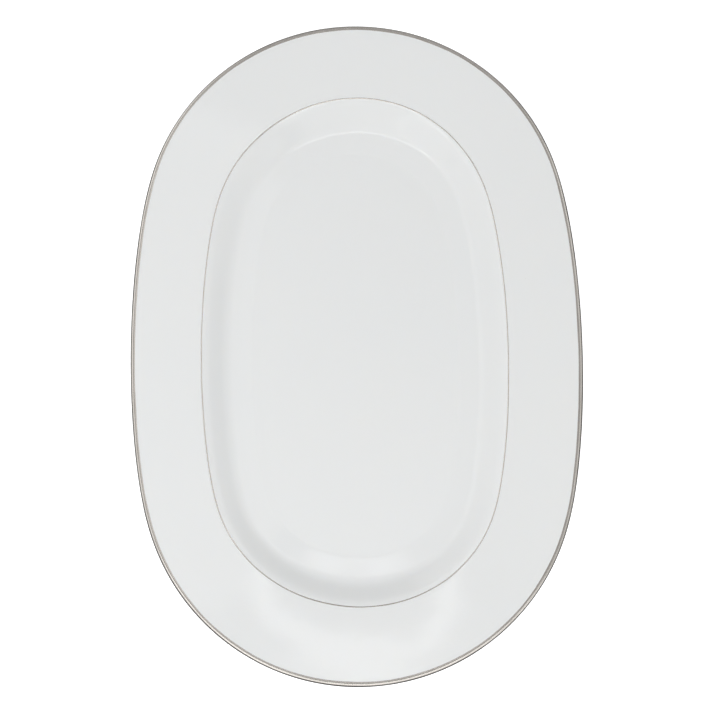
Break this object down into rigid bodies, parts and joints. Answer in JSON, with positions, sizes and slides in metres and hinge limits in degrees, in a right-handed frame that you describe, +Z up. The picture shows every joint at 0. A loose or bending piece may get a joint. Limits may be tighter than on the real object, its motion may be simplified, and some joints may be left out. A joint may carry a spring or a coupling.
{
  "type": "oval serving platter",
  "caption": "Oval bone china serving platter: wide raised rim, shallow well, foot ring, and a platinum band round the lip with a fine platinum line at the verge.",
  "frame": {"origin": "centre of the plane that the foot ring rests on", "axes": "+Z up out of the well, +Y along the length, +X along the width"},
  "size_m": [0.24, 0.3556, 0.0259],
  "materials": {
    "bone_china": "clear gloss glaze over white bone china, bare on the foot's bearing edge",
    "platinum": "fired bright platinum, brushed on by hand",
    "printed_mark": "grey ceramic print under the glaze"
  },
  "bodies": {
    "root": {"platter_body": "bone_china", "edge_band": "platinum", "verge_line": "platinum", "backstamp": "printed_mark"}
  },
  "joints": []
}
